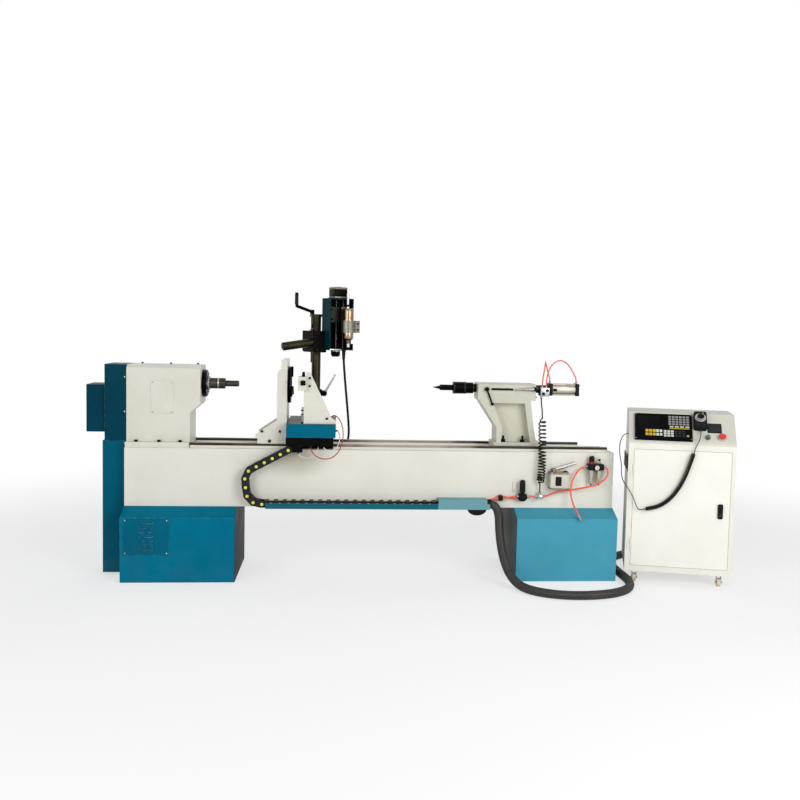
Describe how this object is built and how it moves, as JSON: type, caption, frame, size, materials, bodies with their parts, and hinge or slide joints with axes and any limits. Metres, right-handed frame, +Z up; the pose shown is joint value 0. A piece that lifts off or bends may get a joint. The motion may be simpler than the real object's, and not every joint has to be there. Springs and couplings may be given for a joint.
{
  "type": "cnc wood lathe",
  "caption": "Floor-standing wood lathe with belt-driven headstock, steady, tool post and router column on a screw-fed carriage, air-powered tailstock and a wheeled control cabinet.",
  "frame": {"origin": "on the floor at the middle of the headstock pedestal's base", "axes": "+X along the bed from headstock to tailstock, +Y away from the operator, +Z up"},
  "size_m": [3.775, 1.0026, 1.681],
  "materials": {
    "teal_paint": "semi-gloss teal paint",
    "dark_teal_paint": "semi-gloss dark teal paint",
    "white_paint": "semi-gloss warm white paint",
    "cabinet_paint": "light texture, off-white paint",
    "black_metal": "black oxide",
    "dark_iron": "dark machined casting",
    "steel": "ground",
    "dark_steel": "oiled",
    "aluminium": "turned",
    "black_plastic": "moulded",
    "black_rubber": "matt",
    "orange_tube": "glossy tube",
    "white_plastic": "translucent look",
    "red_plastic": "glossy",
    "green_plastic": "pale cap",
    "cream_wheel": "cast nylon"
  },
  "bodies": {
    "frame": {"left_pedestal": "teal_paint", "vent_panel": "teal_paint", "right_pedestal": "teal_paint", "bed": "white_paint", "bed_rails": "dark_steel", "headstock": "white_paint", "upper_belt_guard": "dark_teal_paint", "lower_belt_guard": "dark_teal_paint", "spindle_bearings": "black_metal", "drive_belt": "black_rubber", "spindle_motor": "dark_iron", "chain_tray": "teal_paint", "cable_chain": "black_plastic", "carriage_drive": "dark_iron", "air_regulator": "black_plastic", "filter_unit": "black_plastic", "oil_pump": "white_plastic", "air_hoses": "orange_tube", "conduit_hose": "black_rubber", "cabinet_shell": "cabinet_paint", "controller": "black_plastic", "pendant": "black_plastic", "pendant_cord": "black_rubber", "caster_forks": "steel"},
    "spindle": {"spindle": "dark_steel"},
    "motor_pulley": {"motor_pulley": "dark_iron"},
    "feed_screw": {"feed_screw": "steel"},
    "carriage": {"saddle": "dark_iron", "steady_bracket": "white_paint", "steady_ring": "black_metal", "carriage_cables": "black_rubber"},
    "cross_slide": {"slide_table": "teal_paint", "tool_bracket": "white_paint", "tool_bar": "dark_steel", "column_base": "black_metal"},
    "column_lever": {"column_lever": "steel"},
    "column": {"column": "dark_steel"},
    "crank": {"lift_crank": "black_metal"},
    "lift": {"lift_head": "black_metal", "swing_bar": "dark_steel", "slide_housing": "dark_teal_paint", "slide_motor": "black_metal"},
    "router": {"router_slide": "aluminium", "router_motor": "aluminium"},
    "collet": {"router_collet": "steel"},
    "tailstock": {"tailstock": "white_paint", "tailstock_clamp": "black_metal", "air_cylinder": "aluminium", "cylinder_hoses": "orange_tube", "coil_hose": "black_rubber"},
    "quill": {"quill": "dark_steel"},
    "centre": {"live_centre": "black_metal"},
    "quill_lever": {"quill_lever": "black_metal"},
    "cabinet_door": {"cabinet_door": "cabinet_paint"},
    "stop_button": {"stop_button": "red_plastic"},
    "start_button": {"start_button": "green_plastic"},
    "pendant_dial": {"pendant_dial": "aluminium"},
    "oil_pump_lever": {"oil_pump_lever": "aluminium"},
    "front_wheels": {"front_wheels": "cream_wheel"},
    "rear_wheels": {"rear_wheels": "cream_wheel"}
  },
  "joints": [
    {"name": "spindle_turn", "type": "hinge", "parent": "frame", "child": "spindle", "pos_m": [0, 0, 1.1], "axis": [1, 0, 0], "continuous": true},
    {"name": "motor_turn", "type": "hinge", "parent": "frame", "child": "motor_pulley", "pos_m": [0, 0, 0.2], "axis": [1, 0, 0], "continuous": true},
    {"name": "carriage_slide", "type": "slide", "parent": "frame", "child": "carriage", "axis": [1, 0, 0], "range_m": [-0.32, 0.58], "deforming": ["cable_chain"]},
    {"name": "feed_screw_turn", "type": "hinge", "parent": "frame", "child": "feed_screw", "pos_m": [0, 0.21, 0.65], "axis": [1, 0, 0], "continuous": true},
    {"name": "cross_slide", "type": "slide", "parent": "carriage", "child": "cross_slide", "axis": [0, 1, 0], "range_m": [-0.06, 0.1], "deforming": ["carriage_cables"]},
    {"name": "column_swivel", "type": "hinge", "parent": "cross_slide", "child": "column", "pos_m": [0.737, 0.21, 0.9], "axis": [0, 0, 1], "range_deg": [-75, 20], "deforming": ["carriage_cables"]},
    {"name": "column_lever_turn", "type": "hinge", "parent": "cross_slide", "child": "column_lever", "pos_m": [0.79, 0.1747, 1.039], "axis": [0, -1, 0], "range_deg": [-50, 20]},
    {"name": "lift_slide", "type": "slide", "parent": "column", "child": "lift", "axis": [0, 0, 1], "range_m": [-0.05, 0.05], "deforming": ["carriage_cables"]},
    {"name": "crank_turn", "type": "hinge", "parent": "column", "child": "crank", "pos_m": [0.70864, 0.25268, 1.5], "axis": [0, 0, 1], "continuous": true},
    {"name": "router_feed", "type": "slide", "parent": "lift", "child": "router", "axis": [0, 0, 1], "range_m": [-0.06, 0.02]},
    {"name": "collet_turn", "type": "hinge", "parent": "router", "child": "collet", "pos_m": [0.92682, 0.11499, 1.33], "axis": [0, 0, 1], "continuous": true},
    {"name": "tailstock_slide", "type": "slide", "parent": "frame", "child": "tailstock", "axis": [1, 0, 0], "range_m": [-0.06, 0.38], "deforming": ["coil_hose"]},
    {"name": "quill_slide", "type": "slide", "parent": "tailstock", "child": "quill", "axis": [1, 0, 0], "range_m": [-0.1, 0.018]},
    {"name": "centre_turn", "type": "hinge", "parent": "quill", "child": "centre", "pos_m": [1.5, 0, 1.1], "axis": [1, 0, 0], "continuous": true},
    {"name": "quill_lever_turn", "type": "hinge", "parent": "tailstock", "child": "quill_lever", "pos_m": [1.742, -0.0973, 1.1], "axis": [0, -1, 0], "range_deg": [-60, 60]},
    {"name": "cabinet_door_hinge", "type": "hinge", "parent": "frame", "child": "cabinet_door", "pos_m": [2.57236, -0.33118, 0.45], "axis": [0, 0, -1], "range_deg": [0, 110], "deforming": ["pendant_cord"]},
    {"name": "stop_press", "type": "slide", "parent": "frame", "child": "stop_button", "axis": [0.183, 0.683, -0.7071], "range_m": [0, 0.005], "stiffness_N_per_m": 900, "springref_m": -0.002},
    {"name": "start_press", "type": "slide", "parent": "frame", "child": "start_button", "axis": [0.183, 0.683, -0.7071], "range_m": [0, 0.004], "stiffness_N_per_m": 700, "springref_m": -0.002},
    {"name": "pendant_dial_turn", "type": "hinge", "parent": "frame", "child": "pendant_dial", "pos_m": [2.95703, -0.32804, 0.97416], "axis": [-0.183, -0.683, 0.7071], "continuous": true},
    {"name": "oil_pump_stroke", "type": "hinge", "parent": "frame", "child": "oil_pump_lever", "pos_m": [2.136, -0.196, 0.641], "axis": [0, -1, 0], "range_deg": [-10, 30]},
    {"name": "front_wheels_roll", "type": "hinge", "parent": "frame", "child": "front_wheels", "pos_m": [2.61598, -0.27557, 0.025], "axis": [0.9659, -0.2588, 0], "continuous": true},
    {"name": "rear_wheels_roll", "type": "hinge", "parent": "frame", "child": "rear_wheels", "pos_m": [2.7014, 0.04318, 0.025], "axis": [0.9659, -0.2588, 0], "continuous": true}
  ],
  "couplings": [
    {"joint": "motor_turn", "follows": "spindle_turn", "ratio": 1.5},
    {"joint": "feed_screw_turn", "follows": "carriage_slide", "rad_per_m": 314.16},
    {"joint": "crank_turn", "follows": "lift_slide", "rad_per_m": 628.32}
  ]
}
